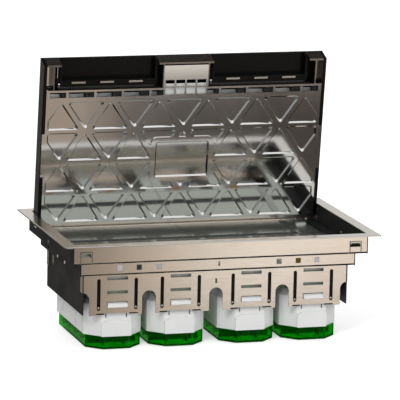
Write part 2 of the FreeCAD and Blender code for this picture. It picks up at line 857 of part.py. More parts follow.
def column(outline, centre_x, depth0, depth1):
    """Extrude a plan outline between two depths."""
    low = level(max(depth0, depth1))
    points = [V(centre_x + x, y, low) for x, y in outline]
    return prism(points, V(0, 0, abs(depth1 - depth0)))


def tapered_column(outline0, depth0, outline1, depth1, centre_x):
    wires = []
    for outline, depth in ((outline0, depth0), (outline1, depth1)):
        points = [V(centre_x + x, y, level(depth)) for x, y in outline]
        wires.append(Part.makePolygon(points + [points[0]]))
    return Part.makeLoft(wires, True, True)


def make_housing(x):
    """White shell of one outlet: chamfered plan, sloping shoulder, open top and bottom, two spring clips."""
    y = housing_half_length
    body = housing_outline(housing_half, -y, y, housing_chamfer)
    shoulder = housing_outline(housing_half, -y, y, housing_chamfer, rim_inset)
    inner = housing_outline(housing_half, -y, y, housing_chamfer, housing_wall)
    mouth = housing_outline(housing_half, -y, y, housing_chamfer, rim_inset + housing_wall)
    shell = fuse([column(body, x, shoulder_depth, housing_bottom),
                  tapered_column(body, shoulder_depth, shoulder, rim_depth, x)])
    shell = shell.cut([column(inner, x, shoulder_depth, housing_bottom + 1),
                       tapered_column(inner, shoulder_depth, mouth, rim_depth - 0.01, x),
                       column(mouth, x, rim_depth - 1, rim_depth + 1)])
    clips = []
    slits = []
    for side in (-1, 1):
        face = side * y
        back = side * (y - housing_wall)
        clips.append(slab(x - clip_arm_half, x + clip_arm_half, face, back, clip_arm_top, clip_arm_root))
        reach = side * (lower_hy + clip_nose_reach)
        clips.append(prism([V(x - clip_arm_half, face, level(clip_nose[0])),
                            V(x - clip_arm_half, reach, level(clip_nose[0] + clip_nose_slope)),
                            V(x - clip_arm_half, reach, level(clip_nose[1])),
                            V(x - clip_arm_half, face, level(clip_nose[1]))],
                           V(2 * clip_arm_half, 0, 0)))
        for edge in (-1, 1):
            x0 = x + edge * clip_arm_half
            slits.append(slab(x0, x0 + edge * clip_slit, face + side, back - side,
                              rim_depth - 5, clip_arm_root - 1))
    apron_front = housing_front
    aprons = []
    for side in (-1, 1):
        half = housing_half - housing_chamfer
        aprons.append(prism([V(x - half, side * y, level(apron_top + 3)),
                             V(x - half + 5, side * y, level(apron_top)),
                             V(x + half - 5, side * y, level(apron_top)),
                             V(x + half, side * y, level(apron_top + 3)),
                             V(x + half, side * y, level(housing_bottom)),
                             V(x - half, side * y, level(housing_bottom))],
                            V(0, side * (apron_front - y), 0)))
    shell = shell.cut(slits)
    shell = fuse([shell] + clips + aprons)
    windows = []
    for y0 in side_window_y:
        for side in (-1, 1):
            windows.append(slab(x + side * (housing_half + 1), x + side * (housing_half - housing_wall - 1),
                                y0 - side_window_half, y0 + side_window_half, *side_window_depths))
    return shell.cut(windows)


def make_outlet(x):
    """Outlet inside the housing: square face, round plug well with two pin holes, and the contact block."""
    face = slab(x - face_half, x + face_half, face_y - face_half, face_y + face_half,
                face_depth, face_depth + face_plate)
    outer = cylinder(well_radius + well_wall, well_depth + well_wall - face_plate + 1,
                     V(x, face_y, level(face_depth + well_depth + well_wall)), V(0, 0, 1))
    core_half = housing_half - rim_inset - housing_wall - core_gap
    core_plan = housing_outline(core_half, core_front_y, core_rear_y, core_chamfer)
    core = column(core_plan, x, core_top, core_bottom)
    body = fuse([face, outer, core])
    tools = [cylinder(well_radius, well_depth + 1, V(x, face_y, level(face_depth + well_depth)), V(0, 0, 1))]
    for side in (-1, 1):
        tools.append(cylinder(pin_hole_radius, contact_length + well_wall + 1,
                              V(x + side * pin_pitch / 2, face_y,
                                level(face_depth + well_depth + well_wall + contact_length)), V(0, 0, 1)))
        half = earth_width / 2 + earth_gap
        deep = well_radius + earth_stand + earth_thickness + earth_gap
        tools.append(slab(x - half, x + half, face_y, face_y + side * deep,
                          face_depth + 1.5 - earth_gap, face_depth + well_depth))
    return body.cut(tools)


def make_contacts(x):
    """Brass: two split sleeves under the pin holes and two earth springs at the sides of the well."""
    pieces = []
    top = face_depth + well_depth + well_wall
    for side in (-1, 1):
        centre = V(x + side * pin_pitch / 2, face_y, level(top + contact_length - 2))
        tube = cylinder(pin_hole_radius - running_gap, contact_length - 3, centre, V(0, 0, 1))
        tube = tube.cut(cylinder(pin_hole_radius - contact_wall, contact_length, centre, V(0, 0, 1)))
        pieces.append(tube)
        pieces.append(slab(x - earth_width / 2, x + earth_width / 2,
                           face_y + side * (well_radius + earth_stand),
                           face_y + side * (well_radius + earth_stand + earth_thickness),
                           face_depth + 1.5, face_depth + well_depth))
    return Part.makeCompound(pieces)


def make_wiring_cover(x):
    """Green see-through cover: a tray under the housing with a collar that snaps inside it."""
    half = housing_half - cover_inset
    body = housing_outline(half, cover_front_y, cover_rear_y, housing_chamfer)
    inner = housing_outline(half, cover_front_y, cover_rear_y, housing_chamfer, cover_wall)
    snap = housing_wall + panel_gap
    collar_rear = cover_rear_y - collar_step + snap
    collar = housing_outline(housing_half, -housing_half_length, collar_rear, housing_chamfer, snap)
    collar_in = housing_outline(housing_half, -housing_half_length, collar_rear, housing_chamfer,
                                snap + cover_wall)
    tray = column(body, x, housing_bottom, total_depth)
    tray = tray.cut(column(inner, x, housing_bottom - 1, total_depth - cover_wall))
    ring = column(collar, x, housing_bottom - cover_collar, housing_bottom)
    ring = ring.cut(column(collar_in, x, housing_bottom - cover_collar - 1, housing_bottom + 1))
    lip = column(collar, x, housing_bottom, housing_bottom + cover_wall)
    lip = lip.cut(column(collar_in, x, housing_bottom - 1, housing_bottom + cover_wall + 1))
    bridge = lip.common(column(body, x, housing_bottom, housing_bottom + cover_wall))
    return fuse([tray, ring, bridge])


def build():
    """Every piece by its name."""
    front_wall = make_long_wall()
    left_wall = make_left_wall()
    rails = make_guide_rails()
    rivets = make_rail_rivets()
    bracket = make_hinge_bracket()
    pin = make_hinge_pin()
    cap = make_end_cap()
    flap = make_cable_flap()
    carrier = make_flap_bracket()
    flap_pin = make_flap_pin()
    springs = make_flap_springs()
    rear_plate = make_rear_plate()
    front_plate = make_front_plate()
    pieces = {
        "trim_frame": make_trim_frame(),
        "front_wall": front_wall,
        "rear_wall": turned(front_wall),
        "left_end_wall": left_wall,
        "right_end_wall": mirror_x(left_wall),
        "corner_clips": make_corner_clips(),
        "front_guide_rails": Part.makeCompound(rails),
        "rear_guide_rails": Part.makeCompound([turned(rail) for rail in rails]),
        "rail_rivets": Part.makeCompound(rivets + [turned(rivet) for rivet in rivets]),
        "support_bar": make_support_bar(),
        "rear_plate_right": rear_plate,
        "rear_plate_left": mirror_x(rear_plate),
        "front_plate_right": front_plate,
        "front_plate_left": mirror_x(front_plate),
        "plate_screws": make_plate_screws(),
        "ribbed_strip": make_ribbed_strip(),
        "hinge_bracket_left": bracket,
        "hinge_bracket_right": mirror_x(bracket),
        "hinge_pins": Part.makeCompound([pin, mirror_x(pin)]),
        "lid_tray": place_lid(make_lid_tray()),
        "lid_panel": place_lid(make_lid_panel()),
        "lid_handle": place_lid(make_lid_handle()),
        "lid_end_cap_left": place_lid(cap),
        "lid_end_cap_right": place_lid(mirror_x(cap)),
        "flap_carrier_right": place_lid(carrier),
        "flap_carrier_left": place_lid(mirror_x(carrier)),
        "cable_flap_right": place_lid(flap),
        "cable_flap_left": place_lid(mirror_x(flap)),
        "flap_springs_right": place_lid(springs),
        "flap_springs_left": place_lid(mirror_x(springs)),
        "flap_pins": place_lid(Part.makeCompound([flap_pin, mirror_x(flap_pin)])),
    }
    for number, x in enumerate(module_x, start=1):
        pieces["outlet_housing_%d" % number] = make_housing(x)
        pieces["outlet_%d" % number] = make_outlet(x)
        pieces["contacts_%d" % number] = make_contacts(x)
        pieces["wiring_cover_%d" % number] = make_wiring_cover(x)
    return pieces


def main():
    os.makedirs("parts", exist_ok=True)
    for name, shape in build().items():
        shape.exportStep(os.path.join("parts", name + ".step"))
        bounds = shape.BoundBox
        print("%-20s solids %2d valid %s  X %7.1f %7.1f  Y %7.1f %7.1f  Z %7.1f %7.1f" % (
            name, len(shape.Solids), shape.isValid(), bounds.XMin, bounds.XMax,
            bounds.YMin, bounds.YMax, bounds.ZMin, bounds.ZMax))


main()
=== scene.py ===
"""Looks of a floor socket box, laid out as a Blender add-on and run as a script."""

import json
import math

import bmesh
import bpy
from bpy.props import FloatProperty, FloatVectorProperty, PointerProperty
from mathutils import Matrix, Vector


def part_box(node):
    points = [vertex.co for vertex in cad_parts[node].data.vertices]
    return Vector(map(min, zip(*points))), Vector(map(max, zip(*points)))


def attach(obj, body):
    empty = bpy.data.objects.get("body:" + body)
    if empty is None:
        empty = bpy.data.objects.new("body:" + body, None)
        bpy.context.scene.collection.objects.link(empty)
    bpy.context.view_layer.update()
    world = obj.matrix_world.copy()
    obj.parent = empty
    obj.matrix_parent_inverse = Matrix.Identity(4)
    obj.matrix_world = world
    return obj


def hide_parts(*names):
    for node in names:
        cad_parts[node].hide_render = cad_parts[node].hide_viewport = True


bl_info = {
    "name": "Floor Socket Box",
    "version": (1, 0, 0),
    "blender": (4, 5, 0),
    "location": "View3D > Sidebar > Socket Box",
    "description": "Dresses the floor socket box: steels, moulded plastics, foam, rivets and screws",
    "category": "Object",
}

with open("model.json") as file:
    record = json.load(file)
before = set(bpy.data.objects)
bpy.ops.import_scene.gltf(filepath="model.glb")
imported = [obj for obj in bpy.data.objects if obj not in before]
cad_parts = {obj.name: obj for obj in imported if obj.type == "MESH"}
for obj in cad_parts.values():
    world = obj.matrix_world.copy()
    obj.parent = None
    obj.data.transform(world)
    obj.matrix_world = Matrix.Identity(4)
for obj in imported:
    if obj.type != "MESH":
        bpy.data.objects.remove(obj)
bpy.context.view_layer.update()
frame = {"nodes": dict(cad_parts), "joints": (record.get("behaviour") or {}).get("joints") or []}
nodes = frame["nodes"]

MM = 0.001

# The lid is drawn open: LID_TURN takes a point of the closed lid there, by the angle of its hinge's lower end
lid_hinge = next(joint for joint in frame["joints"] if joint["name"] == "lid_hinge")
HINGE = Vector(lid_hinge["pos_m"])
LID_TURN = Matrix.Rotation(math.radians(lid_hinge["range_deg"][0]), 3, "X")

# Places on the solids in mm, where a depth is measured down from the top of the trim frame
TOTAL_DEPTH = 102.0
MODULES = (-93.8, -33.8, 33.8, 93.8)
SLOT_OFFSET = 17.6
RIVET_DEPTH = 63.6
CLIP_X = 128.2
SCREW_X = (105.6, 115.6)
SCREW_Y = 73.4

# Outer half sizes of the skirt's three bands, across and front to back, and the sheet they are bent from
UPPER_HALF = (140.4, 81.4)
MIDDLE_HALF = (131.3, 72.8)
LOWER_HALF = (126.7, 64.5)
SHEET = 1.0


def linear(hex_colour):
    """An sRGB hex colour as linear RGBA."""
    values = []
    for place in (1, 3, 5):
        c = int(hex_colour[place:place + 2], 16) / 255
        values.append(c / 12.92 if c <= 0.04045 else ((c + 0.055) / 1.055) ** 2.4)
    return (*values, 1.0)


def grey(value):
    """A linear grey as RGBA."""
    return (value, value, value, 1.0)


def shaded(colour, share):
    """A linear colour at a share of its brightness."""
    return (*(c * share for c in colour[:3]), 1.0)


def on_lid(x, along, deep):
    """A point of the open lid: along from the hinge to the free edge, deep towards its inner side, in mm."""
    return HINGE + LID_TURN @ (Vector((x, -along, -deep)) * MM)


def in_box(x, y, depth):
    """A point of the box from mm and a depth below the top of the trim frame."""
    return Vector((x, y, TOTAL_DEPTH - depth)) * MM


def add_node(tree, kind, inputs=None, **settings):
    """Adds one node with its settings, and sets or links its inputs."""
    node = tree.nodes.new(kind)
    for name, value in settings.items():
        setattr(node, name, value)
    for name, value in (inputs or {}).items():
        if isinstance(value, bpy.types.NodeSocket):
            tree.links.new(value, node.inputs[name])
        else:
            node.inputs[name].default_value = value
    return node


def new_material(name):
    """An empty material with its output node."""
    material = bpy.data.materials.new(name)
    material.use_nodes = True
    tree = material.node_tree
    tree.nodes.clear()
    return material, tree, add_node(tree, "ShaderNodeOutputMaterial")


def set_ramp(node, stops):
    """Fills a colour ramp with (place, colour) stops, where a colour is linear RGBA or an sRGB hex value."""
    ramp = node.color_ramp
    while len(ramp.elements) < len(stops):
        ramp.elements.new(1.0)
    for element, (place, colour) in zip(ramp.elements, stops):
        element.position = place
        element.color = linear(colour) if isinstance(colour, str) else colour


def scale_of(size_mm):
    """Scale of a texture whose features are about this size, since object coordinates are in metres."""
    return 1000 / size_mm


def rolled_steel(name, colour, roughness, grain_mm, stretch, wave_mm, metallic=1.0):
    """Rolled sheet: grain in the rolling direction, faint smears, and a slow waviness that bends reflections.

    Real grain is too fine to show in the render, so grain_mm is coarser. A stretch below 1 draws it out.
    """
    smear_mm = 60
    material, tree, output = new_material(name)
    place = add_node(tree, "ShaderNodeTexCoord").outputs["Object"]
    drawn = add_node(tree, "ShaderNodeMapping", {"Vector": place, "Scale": stretch})
    grain = add_node(tree, "ShaderNodeTexNoise", {
        "Vector": drawn.outputs[0], "Scale": scale_of(grain_mm), "Detail": 4.0, "Roughness": 0.6})
    smear = add_node(tree, "ShaderNodeTexNoise", {
        "Vector": place, "Scale": scale_of(smear_mm), "Detail": 3.0})
    rough = add_node(tree, "ShaderNodeMapRange", {
        "Value": grain.outputs["Fac"], "From Min": 0.3, "From Max": 0.7,
        "To Min": roughness * 0.8, "To Max": roughness * 1.25})
    worn = add_node(tree, "ShaderNodeMapRange", {
        "Value": smear.outputs["Fac"], "From Min": 0.35, "From Max": 0.75,
        "To Min": 0.0, "To Max": roughness * 0.25})
    total = add_node(tree, "ShaderNodeMath", {0: rough.outputs[0], 1: worn.outputs[0]}, operation="ADD")
    tint = add_node(tree, "ShaderNodeValToRGB", {"Fac": smear.outputs["Fac"]})
    set_ramp(tint, [(0.3, shaded(colour, 0.93)), (0.7, colour)])
    waves = add_node(tree, "ShaderNodeTexNoise", {
        "Vector": place, "Scale": scale_of(wave_mm), "Detail": 1.0})
    bent = add_node(tree, "ShaderNodeBump", {
        "Height": waves.outputs["Fac"], "Strength": 0.12, "Distance": 0.0006})
    fine = add_node(tree, "ShaderNodeBump", {
        "Height": grain.outputs["Fac"], "Strength": 0.05, "Distance": 0.00005, "Normal": bent.outputs[0]})
    shader = add_node(tree, "ShaderNodeBsdfPrincipled", {
        "Base Color": tint.outputs["Color"], "Metallic": metallic, "Roughness": total.outputs[0],
        "Normal": fine.outputs[0]})
    tree.links.new(shader.outputs[0], output.inputs["Surface"])
    return material


def moulded_plastic(name, colour, roughness, grain_mm, depth_mm, specular=0.5):
    """Moulded or coated surface: even colour, fine grain and a slightly uneven gloss.

    Spark-eroded grain is too fine to show in the render, so grain_mm is coarser.
    """
    cloud_mm = 35
    material, tree, output = new_material(name)
    place = add_node(tree, "ShaderNodeTexCoord").outputs["Object"]
    grain = add_node(tree, "ShaderNodeTexNoise", {
        "Vector": place, "Scale": scale_of(grain_mm), "Detail": 3.0})
    cloud = add_node(tree, "ShaderNodeTexNoise", {
        "Vector": place, "Scale": scale_of(cloud_mm), "Detail": 2.0})
    rough = add_node(tree, "ShaderNodeMapRange", {
        "Value": cloud.outputs["Fac"], "From Min": 0.3, "From Max": 0.7,
        "To Min": roughness * 0.85, "To Max": roughness * 1.15})
    tint = add_node(tree, "ShaderNodeValToRGB", {"Fac": cloud.outputs["Fac"]})
    set_ramp(tint, [(0.25, shaded(colour, 0.95)), (0.75, colour)])
    bump = add_node(tree, "ShaderNodeBump", {
        "Height": grain.outputs["Fac"], "Strength": 0.25, "Distance": depth_mm * MM})
    shader = add_node(tree, "ShaderNodeBsdfPrincipled", {
        "Base Color": tint.outputs["Color"], "Roughness": rough.outputs[0], "IOR": 1.5,
        "Specular IOR Level": specular, "Normal": bump.outputs[0]})
    tree.links.new(shader.outputs[0], output.inputs["Surface"])
    return material


def tinted_polycarbonate(name, colour, clear):
    """Clear polycarbonate: coloured through, glossy as moulded, and a little uneven in its colour.

    Its index and gloss are well below those of real polycarbonate, because reflections of the bright room
    veiled the green of the thin walls.
    """
    flow_mm = 14
    material, tree, output = new_material(name)
    place = add_node(tree, "ShaderNodeTexCoord").outputs["Object"]
    flow = add_node(tree, "ShaderNodeTexNoise", {"Vector": place, "Scale": scale_of(flow_mm), "Detail": 2.0})
    rough = add_node(tree, "ShaderNodeMapRange", {
        "Value": flow.outputs["Fac"], "From Min": 0.3, "From Max": 0.7, "To Min": 0.06, "To Max": 0.14})
    tint = add_node(tree, "ShaderNodeValToRGB", {"Fac": flow.outputs["Fac"]})
    set_ramp(tint, [(0.3, shaded(colour, 0.75)), (0.7, colour)])
    shader = add_node(tree, "ShaderNodeBsdfPrincipled", {
        "Base Color": tint.outputs["Color"], "Roughness": rough.outputs[0], "IOR": 1.15,
        "Specular IOR Level": 0.02, "Transmission Weight": clear})
    tree.links.new(shader.outputs[0], output.inputs["Surface"])
    return material


def open_cell_foam(name, colour):
    """Sealing foam: deep open cells and no gloss."""
    cell_mm = 1.6
    material, tree, output = new_material(name)
    place = add_node(tree, "ShaderNodeTexCoord").outputs["Object"]
    cells = add_node(tree, "ShaderNodeTexVoronoi", {"Vector": place, "Scale": scale_of(cell_mm)}).outputs
    tint = add_node(tree, "ShaderNodeValToRGB", {"Fac": cells["Distance"]})
    set_ramp(tint, [(0.2, shaded(colour, 0.3)), (0.7, colour)])
    bump = add_node(tree, "ShaderNodeBump", {
        "Height": cells["Distance"], "Strength": 1.0, "Distance": 0.0006})
    shader = add_node(tree, "ShaderNodeBsdfPrincipled", {
        "Base Color": tint.outputs["Color"], "Roughness": 0.95, "Normal": bump.outputs[0]})
    tree.links.new(shader.outputs[0], output.inputs["Surface"])
    return material


def dress(names, material):
    """Gives CAD pieces a finish in every slot they have."""
    for name in names:
        slots = nodes[name].data.materials
        if not slots:
            slots.append(material)
        for index in range(len(slots)):
            slots[index] = material


def new_object(name, bm, material):
    """Turns a bmesh into an object of the scene with one material."""
    mesh = bpy.data.meshes.new(name)
    bm.to_mesh(mesh)
    bm.free()
    made = bpy.data.objects.new(name, mesh)
    bpy.context.scene.collection.objects.link(made)
    mesh.materials.append(material)
    return made


def mesh_piece(name, bm, material, body):
    """Turns a bmesh into a piece that rides on a body."""
    piece = new_object(name, bm, material)
    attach(piece, body)
    return piece


def join(bm, part):
    """Moves one bmesh into another."""
    mesh = bpy.data.meshes.new("part")
    part.to_mesh(mesh)
    part.free()
    bm.from_mesh(mesh)
    bpy.data.meshes.remove(mesh)


def add_plate(bm, points, thickness, ease=0.15):
    """Adds a cut sheet: its outline in space, extruded by a vector, with eased edges (ease in mm)."""
    part = bmesh.new()
    face = part.faces.new([part.verts.new(p) for p in points])
    grown = bmesh.ops.extrude_face_region(part, geom=[face])
    moved = [v for v in grown["geom"] if isinstance(v, bmesh.types.BMVert)]
    bmesh.ops.translate(part, verts=moved, vec=thickness)
    bmesh.ops.recalc_face_normals(part, faces=part.faces)
    edges = list(part.edges)
    bmesh.ops.bevel(part, geom=edges, offset=ease * MM, segments=2, affect="EDGES", clamp_overlap=True)
    join(bm, part)


def add_slab(bm, low, high, place, ease=0.15):
    """Adds an eased sheet between two corners given in mm to a placing function."""
    (x0, a0, d0), (x1, a1, d1) = low, high
    points = [place(x0, a0, d0), place(x1, a0, d0), place(x1, a1, d0), place(x0, a1, d0)]
    add_plate(bm, points, place(x0, a0, d1) - place(x0, a0, d0), ease)


def add_turned(bm, profile, centre, axis):
    """Adds a turned piece: (radius, height) steps in mm about an axis."""
    segments = 28
    turn = 2 * math.pi / segments
    axis = Vector(axis).normalized()
    side = axis.orthogonal().normalized()
    other = axis.cross(side)
    rings = []
    for radius, height in profile:
        middle = centre + axis * height * MM
        angles = [i * turn for i in range(segments if radius else 1)]
        rings.append([bm.verts.new(middle + (side * math.cos(angle) + other * math.sin(angle)) * radius * MM)
                      for angle in angles])
    for lower, upper in zip(rings, rings[1:]):
        for i in range(segments):
            after = (i + 1) % segments
            loop = [lower[i % len(lower)], lower[after % len(lower)],
                    upper[after % len(upper)], upper[i % len(upper)]]
            corners = list(dict.fromkeys(loop))
            if len(corners) > 2:
                bm.faces.new(corners).smooth = True


def dome(radius, height, shank=0.0):
    """Profile of a domed rivet head on a short shank."""
    steps = 6
    angles = [i / steps * math.pi / 2 for i in range(steps)]
    curve = [(radius * math.cos(angle), height * math.sin(angle)) for angle in angles]
    return [(radius, -shank)] + curve + [(0, height)]


def chamfered_plan(half, front, rear, chamfer):
    """Plan of an outlet part: a rectangle with its four corners cut off."""
    flat = half - chamfer
    return [(-flat, front), (flat, front), (half, front + chamfer), (half, rear - chamfer),
            (flat, rear), (-flat, rear), (-half, rear - chamfer), (-half, front + chamfer)]


def add_ring(bm, centre_x, outer, inner, top, bottom):
    """Adds an upright wall between two plans with the same number of corners, and between two depths."""
    rows = []
    for plan, depth in ((outer, top), (outer, bottom), (inner, bottom), (inner, top)):
        rows.append([bm.verts.new(in_box(centre_x + x, y, depth)) for x, y in plan])
    count = len(outer)
    for a, b in zip(rows, rows[1:] + rows[:1]):
        for i in range(count):
            j = (i + 1) % count
            bm.faces.new([a[i], a[j], b[j], b[i]])
    bmesh.ops.recalc_face_normals(bm, faces=bm.faces)


class SocketBoxFinishes(bpy.types.PropertyGroup):
    """Colours a user would change."""
    frame_colour: FloatVectorProperty(
        name="Trim frame", description="Satin stainless steel of the trim frame", subtype="COLOR", size=4,
        min=0, max=1, default=linear("#dfddda"))
    wall_colour: FloatVectorProperty(
        name="Long walls", description="Bright rolled steel of the long walls", subtype="COLOR", size=4,
        min=0, max=1, default=linear("#f1ebe4"))
    # Painted reflection: the end walls' near-black stands in for the dark surroundings their steel reflects
    end_wall_colour: FloatVectorProperty(
        name="End walls", description="Near black of the end walls, painted dark reflection", subtype="COLOR", size=4,
        min=0, max=1, default=linear("#242625"))
    panel_colour: FloatVectorProperty(
        name="Lid panel", description="Polished steel of the lid's inner panel", subtype="COLOR", size=4,
        min=0, max=1, default=linear("#ecebe9"))
    plate_colour: FloatVectorProperty(
        name="Cover plates", description="Polished steel of the plates over the outlets", subtype="COLOR",
        size=4, min=0, max=1, default=linear("#a3a9a2"))
    housing_colour: FloatVectorProperty(
        name="Outlet housings", description="White moulded plastic", subtype="COLOR", size=4,
        min=0, max=1, default=linear("#e8e9e8"))
    cover_colour: FloatVectorProperty(
        name="Wiring covers", description="Clear green plastic", subtype="COLOR", size=4,
        min=0, max=1, default=linear("#12c422"))
    flap_colour: FloatVectorProperty(
        name="Cable flaps", description="Black moulded plastic of the flaps and the lid's shell",
        subtype="COLOR", size=4, min=0, max=1, default=linear("#070708"))


class SocketBoxDetails(bpy.types.PropertyGroup):
    """Sizes of the small details."""
    rivet_head_radius: FloatProperty(
        name="Rivet head radius", description="Radius of the domed rivet heads on the skirt", unit="LENGTH",
        subtype="DISTANCE", min=0.0005, max=0.003, default=0.00135)
    rivet_head_height: FloatProperty(
        name="Rivet head height", description="Height of the domed rivet heads", unit="LENGTH",
        subtype="DISTANCE", min=0.0001, max=0.001, default=0.0005)
    foam_thickness: FloatProperty(
        name="Foam thickness", description="Depth of the foam behind the lid's vents", unit="LENGTH",
        subtype="DISTANCE", min=0.001, max=0.009, default=0.005)


class SOCKETBOX_OT_stage(bpy.types.Operator):
    """Lay the floor, light the box and set up the camera"""
    bl_idname = "socketbox.stage"
    bl_label = "Stage"

    def execute(self, context):
        scene = context.scene
        scene.view_settings.view_transform = "Standard"
        self.set_camera(scene)
        self.set_world(scene)
        self.lay_floor()
        self.hang_lamps(scene)
        self.hang_reflector()
        return {"FINISHED"}

    def set_camera(self, scene):
        """Puts the camera where the photograph was taken from, as fitted to the box's edges."""
        data = bpy.data.cameras.new("camera")
        data.sensor_width = 36.0
        data.lens = 336.3
        data.clip_end = 50.0
        place = (-0.9870, -3.2627, 0.7931)
        right = Vector((0.9580, -0.2862, 0.0209))
        up = Vector((0.0356, 0.1908, 0.9810))
        back = right.cross(up).normalized()
        camera = bpy.data.objects.new("camera", data)
        camera.matrix_world = Matrix.Translation(place) @ Matrix((right, up, back)).transposed().to_4x4()
        scene.collection.objects.link(camera)
        scene.camera = camera

    def set_world(self, scene):
        """Lights the box evenly, shows white behind it, and gives the metal a room to mirror."""
        ambient = 0.55
        world = bpy.data.worlds.new("studio")
        world.use_nodes = True
        scene.world = world
        tree = world.node_tree
        tree.nodes.clear()
        output = add_node(tree, "ShaderNodeOutputWorld")
        ray = add_node(tree, "ShaderNodeLightPath").outputs
        shown = add_node(tree, "ShaderNodeBackground", {"Color": grey(1.0), "Strength": 1.0})
        room = self.mirrored_room(tree)
        mirrored = add_node(tree, "ShaderNodeBackground", {"Color": room, "Strength": 1.0})
        fill = add_node(tree, "ShaderNodeBackground", {"Color": grey(1.0), "Strength": ambient})
        metal = add_node(tree, "ShaderNodeMixShader", {
            "Fac": ray["Is Glossy Ray"], 1: fill.outputs[0], 2: mirrored.outputs[0]})
        seen = add_node(tree, "ShaderNodeMath", {
            0: ray["Is Camera Ray"], 1: ray["Is Transmission Ray"]}, operation="MAXIMUM")
        whole = add_node(tree, "ShaderNodeMixShader", {
            "Fac": seen.outputs[0], 1: metal.outputs[0], 2: shown.outputs[0]})
        tree.links.new(whole.outputs[0], output.inputs["Surface"])

    def mirrored_room(self, tree):
        """Colour of the room in the metal: a ramp up its front half, one up its back half, dim at both sides.

        The ramps run from straight down at 0 to straight up at 1. The other limits are parts of a direction.
        """
        front_to_back = 0.15
        left_dim, left_lit, left_shade = -0.32, -0.14, 0.16
        right_lit, right_dim, right_shade = 0.45, 0.66, 0.15
        ceiling_edge, ceiling = 0.40, 0.60
        place = add_node(tree, "ShaderNodeTexCoord")
        way = add_node(tree, "ShaderNodeSeparateXYZ", {"Vector": place.outputs["Generated"]}).outputs
        height = add_node(tree, "ShaderNodeMapRange", {"Value": way["Z"], "From Min": -1.0, "From Max": 1.0})
        front = add_node(tree, "ShaderNodeValToRGB", {"Fac": height.outputs[0]})
        set_ramp(front, [(0.18, "#0b0a0a"), (0.30, "#5f5852"), (0.42, "#d8cfc4"), (0.55, "#e9e3db"),
                         (0.70, grey(0.95)), (1.0, grey(0.9))])
        back = add_node(tree, "ShaderNodeValToRGB", {"Fac": height.outputs[0]})
        set_ramp(back, [(0.20, "#0c0c0c"), (0.28, "#8f8a83"), (0.49, "#c5bfb7"), (0.55, "#d9d6d2"),
                        (0.71, "#e6e3df"), (0.79, "#322e2b"), (0.94, "#322e2b"), (0.98, grey(0.8))])
        facing = add_node(tree, "ShaderNodeMapRange", {
            "Value": way["Y"], "From Min": -front_to_back, "From Max": front_to_back})
        room = add_node(tree, "ShaderNodeMix", {
            "Factor": facing.outputs[0], "A": front.outputs["Color"], "B": back.outputs["Color"]},
            data_type="RGBA")
        leftward = add_node(tree, "ShaderNodeMapRange", {
            "Value": way["X"], "From Min": left_dim, "From Max": left_lit,
            "To Min": left_shade, "To Max": 1.0})
        rightward = add_node(tree, "ShaderNodeMapRange", {
            "Value": way["X"], "From Min": right_lit, "From Max": right_dim,
            "To Min": 1.0, "To Max": right_shade})
        overhead = add_node(tree, "ShaderNodeMapRange", {
            "Value": way["Z"], "From Min": ceiling_edge, "From Max": ceiling})
        sideways = add_node(tree, "ShaderNodeMath", {
            0: leftward.outputs[0], 1: rightward.outputs[0]}, operation="MULTIPLY")
        shade = add_node(tree, "ShaderNodeMath", {
            0: sideways.outputs[0], 1: overhead.outputs[0]}, operation="MAXIMUM")
        walls = add_node(tree, "ShaderNodeMix", {
            "Factor": 1.0, "A": room.outputs["Result"], "B": shade.outputs[0]},
            data_type="RGBA", blend_type="MULTIPLY")
        return walls.outputs["Result"]

    def lay_floor(self):
        """Lays a wide pale floor that takes the box's shadow and that the metal doesn't mirror."""
        half_width = 6.0
        below_box = 0.0005
        bm = bmesh.new()
        bmesh.ops.create_grid(bm, x_segments=2, y_segments=2, size=half_width)
        material, tree, output = new_material("pale floor")
        ray = add_node(tree, "ShaderNodeLightPath").outputs
        matt = add_node(tree, "ShaderNodeBsdfDiffuse", {"Color": grey(0.82)})
        glow = add_node(tree, "ShaderNodeEmission", {"Color": grey(1.0), "Strength": 0.45})
        lit = add_node(tree, "ShaderNodeAddShader", {0: matt.outputs[0], 1: glow.outputs[0]})
        shown = add_node(tree, "ShaderNodeMixShader", {
            "Fac": ray["Is Camera Ray"], 1: matt.outputs[0], 2: lit.outputs[0]})
        clear = add_node(tree, "ShaderNodeBsdfTransparent")
        whole = add_node(tree, "ShaderNodeMixShader", {
            "Fac": ray["Is Glossy Ray"], 1: shown.outputs[0], 2: clear.outputs[0]})
        tree.links.new(whole.outputs[0], output.inputs["Surface"])
        floor = new_object("floor", bm, material)
        floor.location.z = -below_box

    def hang_lamps(self, scene):
        """Hangs three soft round lamps that the metal doesn't mirror."""
        aim = Vector((0, 0, 0.1))
        for name, place, width, watts in (
                ("key", (-1.6, -2.2, 2.6), 1.6, 55.0),
                ("fill", (2.4, -1.6, 1.4), 1.8, 22.0),
                ("back", (0.3, 2.4, 2.2), 1.6, 20.0)):
            data = bpy.data.lights.new(name, "AREA")
            data.shape = "DISK"
            data.size = width
            data.energy = watts
            lamp = bpy.data.objects.new(name, data)
            lamp.location = place
            lamp.rotation_euler = (aim - Vector(place)).to_track_quat("-Z", "Y").to_euler()
            lamp.visible_glossy = False
            scene.collection.objects.link(lamp)

    def hang_reflector(self):
        """Hangs a wide card in front, seen only in the metal: warm and bright above, dark below."""
        left, right, low, high = -0.6, 1.6, -0.9, 0.25
        in_front = -0.9
        bm = bmesh.new()
        outline = ((left, low), (right, low), (right, high), (left, high))
        bm.faces.new([bm.verts.new((x, in_front, z)) for x, z in outline])
        material, tree, output = new_material("reflector card")
        glow = add_node(tree, "ShaderNodeEmission", {"Color": self.card_colour(tree), "Strength": 1.0})
        tree.links.new(glow.outputs[0], output.inputs["Surface"])
        card = new_object("reflector", bm, material)
        for way in ("camera", "diffuse", "transmission", "shadow", "volume_scatter"):
            setattr(card, "visible_" + way, False)

